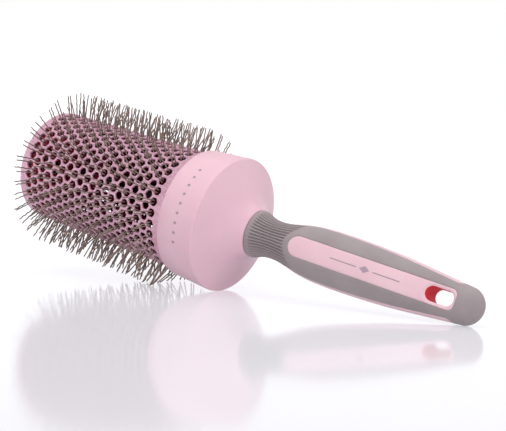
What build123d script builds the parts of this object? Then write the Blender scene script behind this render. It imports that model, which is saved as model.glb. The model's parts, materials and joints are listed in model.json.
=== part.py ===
from build123d import *
import math
import os

# Round thermal barrel brush, lying at rest on a flat surface.
# Every piece is modelled on a straight axis: X runs from the barrel's front rim (x = 0) to the
# end of the handle.  The last step tips the whole brush so that it rests on the collar's rear
# edge and on the end of its handle.  The few bristles that would pass through the surface there
# are bent towards the front, as the brush's own weight bends them.

# ---- barrel -------------------------------------------------------------------------------
# A slight taper: the barrel is wider beside the collar.
BARREL_FRONT_RADIUS = 26.2
BARREL_REAR_RADIUS = 27.9
BARREL_WALL = 0.9
BARREL_START = 0.6
BARREL_END = 92.8
BARREL_TAPER = (BARREL_REAR_RADIUS - BARREL_FRONT_RADIUS) / (BARREL_END - BARREL_START)
HOLE_FLATS = 3.7
HOLES_AROUND = 34
HOLE_COLUMNS = 20
FIRST_COLUMN = 4.35
COLUMN_PITCH = 4.05
ROW_ANGLE = 360.0 / HOLES_AROUND
# How far every cutter runs past the piece that it cuts.
CUT_MARGIN = 1.0

# ---- bristle strips -----------------------------------------------------------------------
BRISTLE_REACH = 11.5
BRISTLE_RADIUS = 0.3
BRISTLE_GAP = 1.4
BRISTLE_ROOT = 0.5
KNEE_HEIGHT = 1.4
LEAN_STEP = 4.0
FLOOR_CLEARANCE = 0.25
STRIP_DEPTH = 1.6
STRIP_THICKNESS = 1.5
STRIP_WIDTH = 2.3
STRIP_START = 1.8
STRIP_END = 86.4

# ---- spiders that carry the strips --------------------------------------------------------
SPIDER_RIM_DEPTH = 1.0
SPIDER_RIM_THICKNESS = 3.9
SPIDER_WIDTH = 2.4
SPIDER_HUB_RADIUS = 7.0
HUB_LENGTH = 7.0
SPOKES = 6
SPOKE_WIDTH = 2.6
SPOKE_OVERLAP = 0.7
FRONT_SPIDER_X = 5.6
MIDDLE_SPIDER_X = 44.85
REAR_SPIDER_X = 84.8
FIT_CLEARANCE = 0.05

# ---- tie rod and its fasteners ------------------------------------------------------------
ROD_RADIUS = 2.5
ROD_CHAMFER = 0.4
ROD_START = -0.5
ROD_END = 133.0
WASHER_RADIUS = 5.5
WASHER_THICKNESS = 1.0
WASHER_START = FRONT_SPIDER_X - SPIDER_WIDTH / 2 - WASHER_THICKNESS
NUT_FLATS = 8.0
NUT_THICKNESS = 4.0
INSERT_RADIUS = 4.0
INSERT_START = 116.0
INSERT_LENGTH = 18.0

# ---- collar -------------------------------------------------------------------------------
COLLAR_FRONT = 87.2
COLLAR_BACK = 107.7
COLLAR_FRONT_RADIUS = 29.85
COLLAR_BACK_RADIUS = 31.1
COLLAR_WALL = 2.4
COLLAR_BORE = BARREL_REAR_RADIUS + FIT_CLEARANCE
BARREL_SEAT = 93.0
SEAT_RADIUS = 26.9
SEAT_SLOPE_LENGTH = 3.0
SHOULDER_FLAT = 5.0
BOSS_RADIUS = 10.4
BOSS_START = 96.0
EDGE_CHAMFER = 0.8
NECK_START = 120.9
NECK_SEAT_RADIUS = 10.95
SPIGOT_RADIUS = 7.0
SPIGOT_START = 99.0
SHOULDER_POINTS = [(110.3, 24.5), (113.3, 18.4), (117.2, 13.3)]

# ---- rear bulkhead ------------------------------------------------------------------------
BULKHEAD_START = 88.6
BULKHEAD_END = 92.4
BULKHEAD_HUB_RADIUS = 8.0

# ---- front cap ----------------------------------------------------------------------------
CAP_FACE = -2.2
CAP_RADIUS = BARREL_FRONT_RADIUS
CAP_EDGE = 2.2
CAP_GROOVE_RADIUS = 19.0
CAP_GROOVE_WIDTH = 1.2
CAP_GROOVE_DEPTH = 0.5
CAP_SKIRT_RADIUS = BARREL_FRONT_RADIUS - BARREL_WALL - FIT_CLEARANCE
CAP_SKIRT_END = 1.7
CAP_WALL = 1.3

# ---- handle -------------------------------------------------------------------------------
HANDLE_END_CENTRE = 227.5
HANDLE_END_RADIUS = 8.35
HANDLE_END_THICKNESS = 5.9
GRIP_SKIN = 1.6
SLOT_CENTRE = 217.45
SLOT_LENGTH = 13.1
SLOT_WIDTH = 7.0
SLOT_MOUTH_HEIGHT = 5.2
SLOT_MOUTH_DEPTH = 3.0
SLOT_MOUTH_ANGLE = 40.0
WINDOW_START = 143.2
WINDOW_END = 224.8
WINDOW_WIDTH = 9.4
WINDOW_CORNER = 2.8
SIDE_STRIP_START = 141.0
SIDE_STRIP_END = 224.5
SIDE_STRIP_WIDTH = 5.6
HANDLE_ROLL = 73.5

# Stations along the handle: position on the axis, half of its width, half of its thickness.
HANDLE_STATIONS = [
    (NECK_START, 10.7, 10.7),
    (122.6, 10.7, 10.7),
    (125.0, 9.85, 9.85),
    (128.0, 8.95, 8.95),
    (133.0, 8.6, 8.6),
    (137.5, 9.05, 8.8),
    (142.5, 10.2, 9.2),
    (149.0, 11.55, 9.4),
    (157.0, 12.3, 9.2),
    (166.0, 12.5, 8.8),
    (176.0, 12.35, 8.3),
    (187.0, 11.95, 7.7),
    (198.0, 11.25, 7.1),
    (209.0, 10.2, 6.6),
    (219.0, 9.2, 6.2),
]
WAIST_STATION = 4
END_ANGLES = [0, 20, 38, 54, 67, 77, 84]

# ---- resting place ------------------------------------------------------------------------
# The surface touches the collar's rear edge and the underside of the handle's round end.
CONTACT_X = COLLAR_BACK - EDGE_CHAMFER
CONTACT_SPAN = HANDLE_END_CENTRE - CONTACT_X
END_DROP = math.hypot(HANDLE_END_RADIUS * math.sin(math.radians(HANDLE_ROLL)),
                      HANDLE_END_THICKNESS * math.cos(math.radians(HANDLE_ROLL)))
REST_TILT = math.degrees(math.atan2(COLLAR_BACK_RADIUS, CONTACT_SPAN)
                         - math.asin(END_DROP / math.hypot(COLLAR_BACK_RADIUS, CONTACT_SPAN)))


def barrel_radius(x):
    """Outer radius of the barrel at x."""
    return BARREL_FRONT_RADIUS + (x - BARREL_START) * BARREL_TAPER


def at_x(x, shape_2d):
    """Puts a flat shape on the plane across the axis at x, its first axis along +Y."""
    return Plane(origin=(x, 0, 0), x_dir=(0, 1, 0), z_dir=(1, 0, 0)) * shape_2d


def disc(x_start, x_end, radius):
    """A solid cylinder on the axis."""
    return extrude(at_x(x_start, Circle(radius)), x_end - x_start)


def ring(x_start, x_end, outer, inner):
    """A tube on the axis."""
    return disc(x_start, x_end, outer) - disc(x_start - CUT_MARGIN, x_end + CUT_MARGIN, inner)


def turned(points):
    """Revolves a closed outline of (x, radius) points about the axis."""
    outline = make_face(Polyline(*[(x, r) for x, r in points], close=True))
    return revolve(outline, Axis.X)


def around_x(shape, degrees):
    return Rot(X=degrees) * shape


def make_barrel():
    """A tapered tube with staggered columns of hexagonal holes."""
    tube = turned([
        (BARREL_START, BARREL_FRONT_RADIUS),
        (BARREL_END, BARREL_REAR_RADIUS),
        (BARREL_END, BARREL_REAR_RADIUS - BARREL_WALL),
        (BARREL_START, BARREL_FRONT_RADIUS - BARREL_WALL),
    ])
    hole_corner_radius = HOLE_FLATS / math.sqrt(3)
    cutters = []
    for column in range(HOLE_COLUMNS):
        x = FIRST_COLUMN + column * COLUMN_PITCH
        half_step = 0.5 if column % 2 else 0.0
        foot = barrel_radius(x) - BARREL_WALL - CUT_MARGIN
        plane = Plane(origin=(x, 0, foot), x_dir=(1, 0, 0), z_dir=(0, 0, 1))
        hexagon = RegularPolygon(hole_corner_radius, 6)
        prism = extrude(plane * hexagon, BARREL_WALL + 2 * CUT_MARGIN)
        for row in range(HOLES_AROUND):
            cutters.append(around_x(prism, (row + half_step) * ROW_ANGLE))
    return tube - cutters


def bristle_columns():
    """Every second column of holes carries bristles, the last one included."""
    return [FIRST_COLUMN + c * COLUMN_PITCH for c in range(1, HOLE_COLUMNS, 2)]


def lean_towards_front(x, strip_angle):
    """Degrees by which a pin at x bends so that its tip stays above the resting surface."""
    tilt = math.radians(REST_TILT)
    off_bottom = math.radians(strip_angle - 180)
    knee = barrel_radius(x) + KNEE_HEIGHT
    free_length = BRISTLE_REACH - KNEE_HEIGHT
    lean = 0.0
    while True:
        tip_x = x - free_length * math.sin(math.radians(lean))
        tip_radius = knee + free_length * math.cos(math.radians(lean))
        drop = COLLAR_BACK_RADIUS - tip_radius * math.cos(off_bottom)
        height = (CONTACT_X - tip_x) * math.sin(tilt) + drop * math.cos(tilt)
        if height >= FLOOR_CLEARANCE:
            return lean
        lean += LEAN_STEP


def make_pin(x, y, lean):
    """One round-ended pin standing on the strip, bent at a knee outside the barrel if it leans."""
    root = barrel_radius(x) - STRIP_DEPTH - BRISTLE_ROOT
    knee = barrel_radius(x) + KNEE_HEIGHT
    free_length = BRISTLE_REACH - KNEE_HEIGHT - BRISTLE_RADIUS
    stem = Pos(x, y, (root + knee) / 2) * Cylinder(BRISTLE_RADIUS, knee - root)
    free = Pos(0, 0, free_length / 2) * Cylinder(BRISTLE_RADIUS, free_length)
    free += Pos(0, 0, free_length) * Sphere(BRISTLE_RADIUS)
    pin = stem + Pos(x, y, knee) * Rot(Y=-lean) * free
    if lean:
        pin += Pos(x, y, knee) * Sphere(BRISTLE_RADIUS)
    return pin


def make_bristle_strip(leans):
    """One moulded strip: a spine along the barrel's wall and a pair of pins for each hole."""
    outer_start = barrel_radius(STRIP_START) - STRIP_DEPTH
    outer_end = barrel_radius(STRIP_END) - STRIP_DEPTH
    side = Polyline(
        (STRIP_START, 0, outer_start - STRIP_THICKNESS),
        (STRIP_END, 0, outer_end - STRIP_THICKNESS),
        (STRIP_END, 0, outer_end),
        (STRIP_START, 0, outer_start),
        close=True,
    )
    spine = extrude(make_face(side), STRIP_WIDTH / 2, dir=(0, 1, 0), both=True)
    pins = []
    for x, lean in zip(bristle_columns(), leans):
        for sign in (-1, 1):
            pins.append(make_pin(x, sign * BRISTLE_GAP / 2, lean))
    return spine + pins


def make_bristle_strips():
    """All strips; those with the same bends share one shape, turned into place."""
    shapes = {}
    strips = {}
    for row in range(HOLES_AROUND):
        angle = 180 + (row + 0.5) * ROW_ANGLE
        leans = tuple(lean_towards_front(x, angle) for x in bristle_columns())
        if leans not in shapes:
            shapes[leans] = make_bristle_strip(leans)
        strips[f"bristle_strip_{row + 1:02d}"] = around_x(shapes[leans], angle)
    return strips


def make_spider(x_centre, hub_start, hub_end):
    """A spoked wheel on the tie rod, its rim notched for the bristle strips."""
    rim_outer = barrel_radius(x_centre) - SPIDER_RIM_DEPTH
    rim_inner = rim_outer - SPIDER_RIM_THICKNESS
    notch_floor = barrel_radius(x_centre) - STRIP_DEPTH - STRIP_THICKNESS - FIT_CLEARANCE
    rim = ring(x_centre - SPIDER_WIDTH / 2, x_centre + SPIDER_WIDTH / 2, rim_outer, rim_inner)
    notch_height = 2 * (rim_outer - notch_floor)
    notch = Box(2 * SPIDER_WIDTH, STRIP_WIDTH + 2 * FIT_CLEARANCE, notch_height)
    notch = Pos(x_centre, 0, notch_floor + notch_height / 2) * notch
    rim -= [around_x(notch, (row + 0.5) * ROW_ANGLE) for row in range(HOLES_AROUND)]
    spoke_length = rim_inner - SPIDER_HUB_RADIUS + 2 * SPOKE_OVERLAP
    spoke_middle = (rim_inner + SPIDER_HUB_RADIUS) / 2
    spoke = Pos(x_centre, 0, spoke_middle) * Box(SPIDER_WIDTH, SPOKE_WIDTH, spoke_length)
    spokes = [around_x(spoke, i * 360 / SPOKES) for i in range(SPOKES)]
    hub = disc(hub_start, hub_end, SPIDER_HUB_RADIUS)
    bore = disc(hub_start - CUT_MARGIN, hub_end + CUT_MARGIN, ROD_RADIUS + FIT_CLEARANCE)
    return hub + spokes + rim - bore


def make_tie_rod():
    rod = disc(ROD_START, ROD_END, ROD_RADIUS)
    return chamfer(rod.edges(), ROD_CHAMFER)


def make_washer():
    bore = ROD_RADIUS + FIT_CLEARANCE
    return ring(WASHER_START, WASHER_START + WASHER_THICKNESS, WASHER_RADIUS, bore)


def make_nut():
    start = WASHER_START - NUT_THICKNESS
    nut = extrude(at_x(start, RegularPolygon(NUT_FLATS / math.sqrt(3), 6)), NUT_THICKNESS)
    return nut - disc(start - CUT_MARGIN, WASHER_START + CUT_MARGIN, ROD_RADIUS)


def make_insert():
    return ring(INSERT_START, INSERT_START + INSERT_LENGTH, INSERT_RADIUS, ROD_RADIUS)


def make_bulkhead():
    """Closes the barrel inside the collar and carries the pull of the tie rod."""
    plate_radius = barrel_radius(BULKHEAD_START) - BARREL_WALL - FIT_CLEARANCE
    plate = disc(BULKHEAD_START, BULKHEAD_END, plate_radius)
    hub = disc(BULKHEAD_START, BOSS_START, BULKHEAD_HUB_RADIUS)
    bore_radius = ROD_RADIUS + FIT_CLEARANCE
    return plate + hub - disc(BULKHEAD_START - CUT_MARGIN, BOSS_START + CUT_MARGIN, bore_radius)


def make_collar():
    """A hollow moulding: barrel seat in front, boss for the handle behind."""
    inner_x = BARREL_SEAT + SEAT_SLOPE_LENGTH
    inner_front = COLLAR_FRONT_RADIUS - COLLAR_WALL
    inner_back = COLLAR_BACK_RADIUS - COLLAR_WALL
    shoulder_x = COLLAR_BACK - COLLAR_WALL / 2
    outer = [
        (COLLAR_FRONT, COLLAR_FRONT_RADIUS - EDGE_CHAMFER),
        (COLLAR_FRONT + EDGE_CHAMFER, COLLAR_FRONT_RADIUS),
        (COLLAR_BACK - EDGE_CHAMFER, COLLAR_BACK_RADIUS),
        (COLLAR_BACK, COLLAR_BACK_RADIUS - EDGE_CHAMFER),
    ]
    shoulder = [(COLLAR_BACK, COLLAR_BACK_RADIUS - EDGE_CHAMFER)] + SHOULDER_POINTS
    shoulder += [(NECK_START, NECK_SEAT_RADIUS)]
    inner = [
        (NECK_START, SPIGOT_RADIUS + FIT_CLEARANCE),
        (BOSS_START, SPIGOT_RADIUS + FIT_CLEARANCE),
        (BOSS_START, BOSS_RADIUS),
        (shoulder_x + SHOULDER_FLAT, BOSS_RADIUS),
        (shoulder_x, inner_back - SHOULDER_FLAT),
        (shoulder_x - COLLAR_WALL, inner_back),
        (inner_x, inner_front),
        (BARREL_SEAT, SEAT_RADIUS),
        (BARREL_SEAT, COLLAR_BORE),
        (COLLAR_FRONT, COLLAR_BORE),
    ]
    lines = Polyline(*outer)
    curve = Spline(*shoulder)
    closing = Polyline(shoulder[-1], *inner, outer[0])
    return revolve(make_face([lines, curve, closing]), Axis.X)


def make_front_cap():
    """A push-in cap: flat face, rounded edge over the barrel's end, skirt inside the barrel."""
    flange = disc(CAP_FACE, BARREL_START, CAP_RADIUS)
    flange = fillet(flange.edges().group_by(Axis.X)[0], CAP_EDGE)
    skirt = disc(BARREL_START, CAP_SKIRT_END, CAP_SKIRT_RADIUS)
    hollow_radius = CAP_SKIRT_RADIUS - CAP_WALL
    hollow = disc(CAP_FACE + CAP_WALL, CAP_SKIRT_END + CUT_MARGIN, hollow_radius)
    groove_outer = CAP_GROOVE_RADIUS + CAP_GROOVE_WIDTH
    groove_floor = CAP_FACE + CAP_GROOVE_DEPTH
    groove_start = 2 * CAP_FACE - groove_floor
    groove = ring(groove_start, groove_floor, groove_outer, CAP_GROOVE_RADIUS)
    return flange + skirt - hollow - groove


def oval(x, half_width, half_thickness):
    """A handle section: its width lies along Y and its thickness along Z."""
    return at_x(x, Ellipse(half_width, half_thickness))


def handle_loft(inset, first_station):
    """The handle's outer form, or the same form drawn in by inset."""
    sections = [oval(x, w - inset, t - inset) for x, w, t in HANDLE_STATIONS[first_station:]]
    end_radius = HANDLE_END_RADIUS - inset
    end_thickness = HANDLE_END_THICKNESS - inset
    for angle in END_ANGLES:
        along = math.sin(math.radians(angle)) * end_radius
        shrink = math.cos(math.radians(angle))
        x = HANDLE_END_CENTRE + along
        sections.append(oval(x, end_radius * shrink, end_thickness * shrink))
    return loft(sections)


def window_outline():
    """A long window, full round towards the barrel and square with soft corners behind."""
    length = WINDOW_END - WINDOW_START
    middle = (WINDOW_START + WINDOW_END) / 2
    square = length / 2
    outline = Pos(middle, 0) * SlotOverall(length, WINDOW_WIDTH)
    square_middle = WINDOW_END - square / 2
    outline += Pos(square_middle, 0) * RectangleRounded(square, WINDOW_WIDTH, WINDOW_CORNER)
    return outline


def make_slot_cutter():
    """The hanging slot with its two flared mouths."""
    outline = Pos(SLOT_CENTRE, 0) * SlotOverall(SLOT_LENGTH, SLOT_WIDTH)
    depth = 2 * HANDLE_END_RADIUS
    cutter = extrude(outline, depth, both=True)
    mouth_face = Pos(0, 0, SLOT_MOUTH_HEIGHT) * outline
    mouth = extrude(mouth_face, SLOT_MOUTH_DEPTH, taper=-SLOT_MOUTH_ANGLE)
    return cutter + mouth + Rot(X=180) * mouth


def make_handle_core(envelope):
    """The hard core: spigot, body, two windows, two side strips and the hanging slot."""
    waist_x = HANDLE_STATIONS[WAIST_STATION][0]
    core = disc(SPIGOT_START, waist_x, SPIGOT_RADIUS) + handle_loft(GRIP_SKIN, WAIST_STATION)
    reach = 2 * HANDLE_END_RADIUS
    windows = extrude(window_outline(), reach, both=True)
    strip_middle = (SIDE_STRIP_START + SIDE_STRIP_END) / 2
    strip_length = SIDE_STRIP_END - SIDE_STRIP_START
    strip_outline = Pos(strip_middle, 0) * SlotOverall(strip_length, SIDE_STRIP_WIDTH)
    strips = Rot(X=90) * extrude(strip_outline, reach, both=True)
    core += envelope & windows
    core += envelope & strips
    return core


def drill_core(core):
    core -= make_slot_cutter()
    core -= disc(SPIGOT_START - CUT_MARGIN, INSERT_START, ROD_RADIUS + 2 * FIT_CLEARANCE)
    return core - disc(INSERT_START, INSERT_START + INSERT_LENGTH, INSERT_RADIUS)


def make_parts():
    envelope = handle_loft(0, 0)
    solid_core = make_handle_core(envelope)
    front_hub = FRONT_SPIDER_X - SPIDER_WIDTH / 2
    middle_hub = MIDDLE_SPIDER_X - HUB_LENGTH / 2
    parts = {
        "barrel": make_barrel(),
        "front_cap": make_front_cap(),
        "front_spider": make_spider(FRONT_SPIDER_X, front_hub, front_hub + HUB_LENGTH),
        "middle_spider": make_spider(MIDDLE_SPIDER_X, middle_hub, middle_hub + HUB_LENGTH),
        "rear_spider": make_spider(REAR_SPIDER_X, BULKHEAD_START - HUB_LENGTH, BULKHEAD_START),
        "rear_bulkhead": make_bulkhead(),
        "tie_rod": make_tie_rod(),
        "tie_rod_washer": make_washer(),
        "tie_rod_nut": make_nut(),
        "threaded_insert": make_insert(),
        "collar": make_collar(),
        "handle_core": Rot(X=HANDLE_ROLL) * drill_core(solid_core),
        "grip_overmould": Rot(X=HANDLE_ROLL) * (envelope - solid_core),
    }
    parts.update(make_bristle_strips())
    return parts


def rest_on_floor(parts):
    """Tips the brush over and puts the middle of its box's underside at the origin."""
    tipped = {name: Rot(Y=REST_TILT) * shape for name, shape in parts.items()}
    box = Compound(children=[Part(shape.wrapped) for shape in tipped.values()]).bounding_box()
    move = Pos(-(box.min.X + box.max.X) / 2, -(box.min.Y + box.max.Y) / 2, -box.min.Z)
    print("size", box.size, "moved by", move.position)
    return {name: move * shape for name, shape in tipped.items()}


def main():
    os.makedirs("parts", exist_ok=True)
    for name, shape in rest_on_floor(make_parts()).items():
        export_step(shape, f"parts/{name}.step", write_pcurves=False)


main()
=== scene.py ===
import json
import math
import random

import bpy
import numpy as np
from mathutils import Matrix, Vector

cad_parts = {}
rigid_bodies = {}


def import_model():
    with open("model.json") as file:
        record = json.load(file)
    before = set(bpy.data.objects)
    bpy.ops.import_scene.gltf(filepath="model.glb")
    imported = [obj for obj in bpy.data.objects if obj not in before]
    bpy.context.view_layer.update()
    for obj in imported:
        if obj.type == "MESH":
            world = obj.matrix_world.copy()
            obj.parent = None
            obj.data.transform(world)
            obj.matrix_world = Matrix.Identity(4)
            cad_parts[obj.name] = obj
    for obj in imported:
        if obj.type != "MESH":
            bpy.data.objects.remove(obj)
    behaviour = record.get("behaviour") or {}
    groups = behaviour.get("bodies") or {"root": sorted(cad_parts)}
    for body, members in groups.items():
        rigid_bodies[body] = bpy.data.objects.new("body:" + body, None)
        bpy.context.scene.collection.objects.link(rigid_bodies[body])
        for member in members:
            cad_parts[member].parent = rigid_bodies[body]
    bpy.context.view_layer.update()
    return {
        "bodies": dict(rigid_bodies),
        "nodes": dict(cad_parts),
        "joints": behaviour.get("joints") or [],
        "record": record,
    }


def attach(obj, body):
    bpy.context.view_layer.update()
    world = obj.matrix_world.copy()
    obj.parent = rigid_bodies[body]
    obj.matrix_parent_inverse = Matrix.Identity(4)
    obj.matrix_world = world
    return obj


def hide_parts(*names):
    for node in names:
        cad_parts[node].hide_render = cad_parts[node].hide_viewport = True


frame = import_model()

MM = 0.001
MOUNTS = {mount["name"]: mount for mount in frame["record"]["mounts"]}

# ---- driving sizes, in millimetres along and around the brush's own axis --------------------
CAP_FACE = -2.2
BARREL_FRONT_RADIUS = 26.2
BARREL_REAR_RADIUS = 27.9
BARREL_MIDDLE_RADIUS = (BARREL_FRONT_RADIUS + BARREL_REAR_RADIUS) / 2
BARREL_WALL = 0.9
BARREL_START = 0.6
BARREL_END = 92.8
HOLE_FLATS = 3.7
HOLE_CORNER = 0.7
HOLES_AROUND = 34
HOLE_COLUMNS = 20
FIRST_COLUMN = 4.35
COLUMN_PITCH = 4.05
ROW_STEP = 2 * math.pi / HOLES_AROUND

BRISTLE_REACH = 11.5
BRISTLE_RADIUS = 0.3
BRISTLE_GAP = 1.4
KNEE_HEIGHT = 1.4
FLOOR_CLEARANCE = 0.1
CRIMP_LENGTH = 2.8
CRIMP_HEIGHT = 0.12
PIN_TIP = 0.12
STRIP_DEPTH = 1.6
STRIP_THICKNESS = 1.5
STRIP_WIDTH = 2.3
STRIP_START = 1.8
STRIP_END = 86.4

COLLAR_FRONT = 87.2
COLLAR_BACK = 107.7
COLLAR_FRONT_RADIUS = 29.85
COLLAR_BACK_RADIUS = 31.1
NECK_START = 120.9
FIT = 0.05

HANDLE_END_CENTRE = 227.5
HANDLE_END_RADIUS = 8.35
HANDLE_END_THICKNESS = 5.9
HANDLE_STATIONS = [
    (NECK_START, 10.7, 10.7),
    (122.6, 10.7, 10.7),
    (125.0, 9.85, 9.85),
    (128.0, 8.95, 8.95),
    (133.0, 8.6, 8.6),
    (137.5, 9.05, 8.8),
    (142.5, 10.2, 9.2),
    (149.0, 11.55, 9.4),
    (157.0, 12.3, 9.2),
    (166.0, 12.5, 8.8),
    (176.0, 12.35, 8.3),
    (187.0, 11.95, 7.7),
    (198.0, 11.25, 7.1),
    (209.0, 10.2, 6.6),
    (219.0, 9.2, 6.2),
]
WINDOW = (143.2, 224.8, 9.4)
WINDOW_CORNER = 2.8
SIDE_STRIP = (141.0, 224.5, 5.6)
SLOT = (210.9, 224.0, 7.0)
NECK_RIBS = 42
PINK_RECESS = 0.08
GRIP_INSIDE = 1.35
CORE_UNDER_GRIP = 1.4
SPIGOT_RADIUS = 7.0
SPIGOT_START = 99.0


# ---- placing -------------------------------------------------------------------------------
def brush_matrix():
    """Brush axes in the row frame, read from the record's flat cap face: X runs along the brush."""
    face = MOUNTS["front_cap_face"]
    along = -Vector(face["axis"]).normalized()
    across = Vector((0, 0, 1)).cross(along).normalized()
    origin = Vector(face["pos_m"]) - along * CAP_FACE * MM
    return axes_matrix(along, across, origin)


def handle_matrix(brush):
    """The same frame turned about the brush's axis: Z is square to the flat of the handle."""
    along = brush.col[0].to_3d().normalized()
    normal = Vector(MOUNTS["hanging_slot"]["axis"]).normalized()
    return axes_matrix(along, normal.cross(along).normalized(), brush.to_translation())


def axes_matrix(x_axis, y_axis, origin):
    """A frame in millimetres with these axes."""
    z_axis = x_axis.cross(y_axis)
    turned = Matrix((x_axis, y_axis, z_axis)).transposed().to_4x4()
    return Matrix.Translation(origin) @ turned @ Matrix.Scale(MM, 4)


BRUSH = brush_matrix()
HANDLE = handle_matrix(BRUSH)


def barrel_radius(x):
    """Outer radius of the slightly tapered barrel at x."""
    t = (x - BARREL_START) / (BARREL_END - BARREL_START)
    return BARREL_FRONT_RADIUS + (BARREL_REAR_RADIUS - BARREL_FRONT_RADIUS) * t


# ---- mesh helpers --------------------------------------------------------------------------
def add_mesh(name, points, faces, materials, matrix=None, face_materials=None, crease=40):
    """Makes a smooth-shaded mesh object from points in millimetres."""
    matrix = BRUSH if matrix is None else matrix
    placed = np.asarray(points, dtype=float) @ np.array(matrix.to_3x3()).T
    placed += np.array(matrix.to_translation())
    mesh = bpy.data.meshes.new(name)
    mesh.from_pydata(placed.tolist(), [], faces)
    for material in materials:
        mesh.materials.append(material)
    if face_materials is not None:
        mesh.polygons.foreach_set("material_index", face_materials)
    mesh.polygons.foreach_set("use_smooth", [True] * len(mesh.polygons))
    mesh.update()
    mesh.set_sharp_from_angle(angle=math.radians(crease))
    obj = bpy.data.objects.new(name, mesh)
    bpy.context.scene.collection.objects.link(obj)
    return obj


def lathe(profile, segments):
    """Points and faces of a closed outline of (x, radius) turned about the X axis."""
    angles = np.arange(segments) * 2 * math.pi / segments
    points = []
    rings = []
    for x, r in profile:
        start = len(points)
        if r == 0:
            points.append((x, 0, 0))
            rings.append([start] * segments)
        else:
            points.extend((x, r * math.cos(angle), r * math.sin(angle)) for angle in angles)
            rings.append(list(range(start, start + segments)))
    faces = []
    for ring, after in zip(rings, rings[1:] + rings[:1]):
        for j in range(segments):
            k = (j + 1) % segments
            face = tuple(dict.fromkeys((ring[j], ring[k], after[k], after[j])))
            if len(face) > 2:
                faces.append(face)
    return points, faces


def directed_edges(faces):
    """Every edge of every face, in the direction that its face runs."""
    return {edge for face in faces for edge in zip(face, face[1:] + face[:1])}


def open_edges(faces):
    """Directed edges that only one face has."""
    edges = directed_edges(faces)
    return [(a, b) for a, b in edges if (b, a) not in edges]


def arc(centre_x, centre_r, radius, start, end, steps):
    """Points of a circular stretch of an outline, angles in degrees from +X towards +r."""
    angles = [math.radians(start + (end - start) * i / steps) for i in range(steps + 1)]
    return [(centre_x + radius * math.cos(a), centre_r + radius * math.sin(a)) for a in angles]


def smooth_curve(xs, ys):
    """A natural cubic spline through the given points, as a function of x."""
    xs = np.asarray(xs, dtype=float)
    ys = np.asarray(ys, dtype=float)
    gaps = np.diff(xs)
    slopes = np.diff(ys) / gaps
    size = len(xs)
    matrix = np.eye(size)
    target = np.zeros(size)
    for i in range(1, size - 1):
        matrix[i, i - 1:i + 2] = gaps[i - 1], 2 * (gaps[i - 1] + gaps[i]), gaps[i]
        target[i] = 6 * (slopes[i] - slopes[i - 1])
    bends = np.linalg.solve(matrix, target)

    def value(x):
        x = np.asarray(x, dtype=float)
        i = np.clip(np.searchsorted(xs, x) - 1, 0, size - 2)
        left = xs[i + 1] - x
        right = x - xs[i]
        gap = gaps[i]
        cubic = (bends[i] * left ** 3 + bends[i + 1] * right ** 3) / (6 * gap)
        line = (ys[i] / gap - bends[i] * gap / 6) * left
        return cubic + line + (ys[i + 1] / gap - bends[i + 1] * gap / 6) * right

    return value


# ---- materials -----------------------------------------------------------------------------
class Shader:
    """A node material with a Principled shader and a few one-line helpers."""

    def __init__(self, name, **values):
        self.material = bpy.data.materials.new(name)
        self.material.use_nodes = True
        self.nodes = self.material.node_tree.nodes
        self.links = self.material.node_tree.links
        self.principled = self.nodes["Principled BSDF"]
        for key, value in values.items():
            self.principled.inputs[key.replace("_", " ")].default_value = value

    def node(self, kind, **values):
        node = self.nodes.new(kind)
        for key, value in values.items():
            if hasattr(node, key):
                setattr(node, key, value)
            else:
                node.inputs[key.replace("_", " ")].default_value = value
        return node

    def link(self, source, target):
        self.links.new(source, target)

    def position(self):
        return self.node("ShaderNodeNewGeometry").outputs["Position"]

    def noise(self, scale, detail=4.0, roughness=0.55):
        noise = self.node("ShaderNodeTexNoise", Scale=scale, Detail=detail, Roughness=roughness)
        self.link(self.position(), noise.inputs["Vector"])
        return noise.outputs["Fac"]

    def mottle(self, factor, dark, light, low=0.35, high=0.65):
        """Colour between two shades, following a noise."""
        ramp = self.node("ShaderNodeValToRGB")
        ramp.color_ramp.elements[0].position = low
        ramp.color_ramp.elements[0].color = dark
        ramp.color_ramp.elements[1].position = high
        ramp.color_ramp.elements[1].color = light
        self.link(factor, ramp.inputs["Fac"])
        self.link(ramp.outputs["Color"], self.principled.inputs["Base Color"])

    def roughen(self, factor, low, high):
        spread = self.node("ShaderNodeMapRange")
        spread.inputs["To Min"].default_value = low
        spread.inputs["To Max"].default_value = high
        self.link(factor, spread.inputs["Value"])
        self.link(spread.outputs["Result"], self.principled.inputs["Roughness"])

    def bump(self, height, strength, distance):
        bump = self.node("ShaderNodeBump", Strength=strength, Distance=distance)
        self.link(height, bump.inputs["Height"])
        self.link(bump.outputs["Normal"], self.principled.inputs["Normal"])


def barrel_material():
    """Ceramic-coated aluminium: satin mauve pink with fine sparkle."""
    shader = Shader("barrel_coating", Metallic=0.35, Coat_Weight=0.35, Coat_Roughness=0.25)
    shader.mottle(shader.noise(900), (0.58, 0.315, 0.415, 1), (0.76, 0.445, 0.56, 1))
    shader.roughen(shader.noise(400), 0.28, 0.42)
    shader.bump(shader.noise(3500, 2.0), 0.12, 0.00005)
    return shader.material


def collar_material():
    """Satin pink moulding with a faint flow mottle."""
    shader = Shader("collar_plastic", Subsurface_Weight=0.12, Subsurface_Scale=0.003)
    shader.mottle(shader.noise(35, 3.0), (0.635, 0.405, 0.475, 1), (0.675, 0.44, 0.505, 1))
    shader.roughen(shader.noise(160), 0.36, 0.46)
    shader.bump(shader.noise(2600, 2.0), 0.08, 0.00004)
    return shader.material


def core_material():
    """Smooth pale pink moulding."""
    shader = Shader("core_plastic", Subsurface_Weight=0.15, Subsurface_Scale=0.003)
    shader.mottle(shader.noise(40, 3.0), (0.64, 0.43, 0.48, 1), (0.685, 0.47, 0.52, 1))
    shader.roughen(shader.noise(220), 0.25, 0.36)
    shader.bump(shader.noise(2400, 2.0), 0.06, 0.00004)
    return shader.material


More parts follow.
